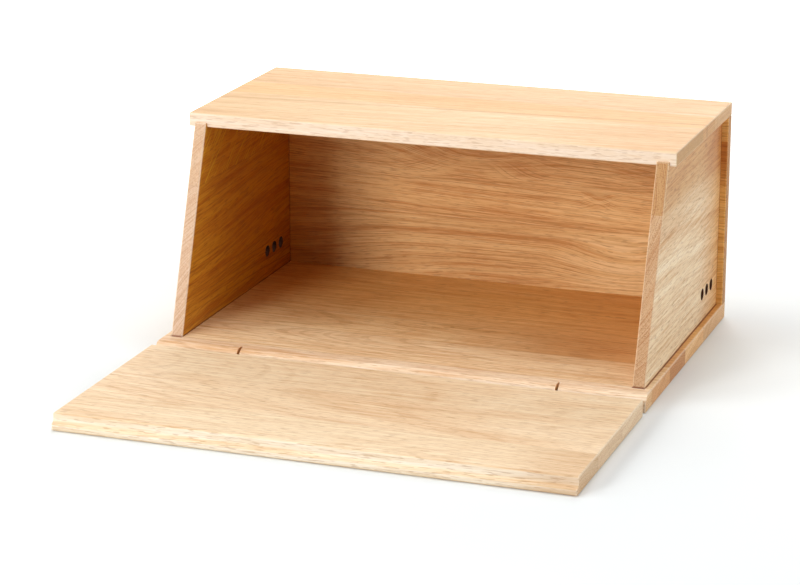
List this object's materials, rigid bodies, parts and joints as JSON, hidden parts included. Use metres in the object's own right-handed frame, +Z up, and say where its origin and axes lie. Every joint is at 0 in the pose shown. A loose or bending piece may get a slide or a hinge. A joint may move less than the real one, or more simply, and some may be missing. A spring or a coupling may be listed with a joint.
{
  "type": "bread box",
  "caption": "Low wooden bread box with a sloping open front and air holes in its sides. A hinged flap closes the front, or lies flat before it as a cutting board.",
  "frame": {"origin": "on the table, under the middle of the bounding box of the open bread box", "axes": "+Z up, +Y from the open front to the back, +X to the right as seen from the front"},
  "size_m": [0.4, 0.443, 0.183],
  "materials": {
    "rubberwood": "pale edge-glued rubberwood, sanded smooth and oiled matt",
    "beech": "plain turned beech",
    "zinc_plated_steel": "pressed sheet, bright zinc plated",
    "brass": "plain drawn brass"
  },
  "bodies": {
    "box": {"base_board": "rubberwood", "back_panel": "rubberwood", "side_panel_left": "rubberwood", "side_panel_right": "rubberwood", "top_board": "rubberwood", "dowels_base": "beech", "dowels_top": "beech", "hinge_bracket_left": "zinc_plated_steel", "hinge_bracket_right": "zinc_plated_steel", "hinge_pin_left": "brass", "hinge_pin_right": "brass", "bracket_screws": "zinc_plated_steel"},
    "flap": {"front_flap": "rubberwood", "hinge_arm_left": "zinc_plated_steel", "hinge_arm_right": "zinc_plated_steel", "arm_screws": "zinc_plated_steel"}
  },
  "joints": [
    {"name": "flap_hinge", "type": "hinge", "parent": "box", "child": "flap", "pos_m": [0, -0.0312, 0.005], "axis": [-1, 0, 0], "range_deg": [0, 108.75]}
  ]
}
